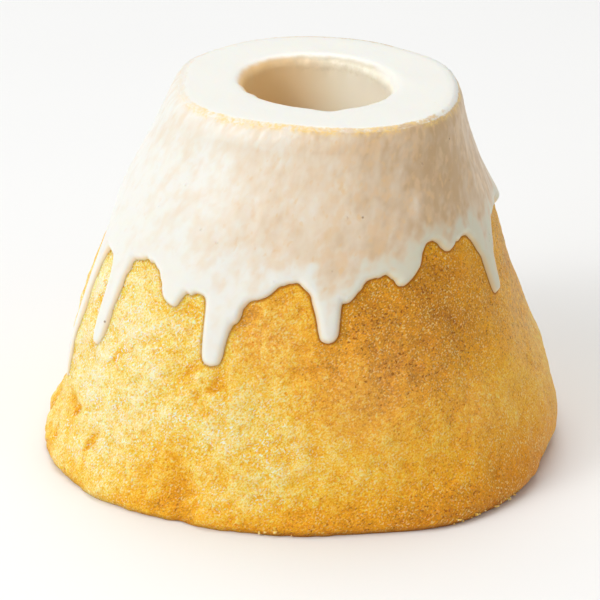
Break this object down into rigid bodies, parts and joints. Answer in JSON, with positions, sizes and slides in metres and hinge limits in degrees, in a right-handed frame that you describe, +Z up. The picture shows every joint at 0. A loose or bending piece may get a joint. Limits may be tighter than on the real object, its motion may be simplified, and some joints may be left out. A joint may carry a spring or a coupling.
{
  "type": "baumkuchen",
  "caption": "Tall ring cake that tapers to a flat top round a straight hole, with a golden crumb skin and white icing that has run down the flank in drips.",
  "frame": {"origin": "on the resting face, under the middle of the cake's outline", "axes": "+Z up along the hole, -Y towards the front of the cake, +X to the front's right"},
  "size_m": [0.1235, 0.1248, 0.088],
  "materials": {
    "crust": "fine golden crumb, matt with small sugar glints",
    "icing": "satin white icing"
  },
  "bodies": {
    "root": {"cake": "crust", "icing": "icing"}
  },
  "joints": []
}
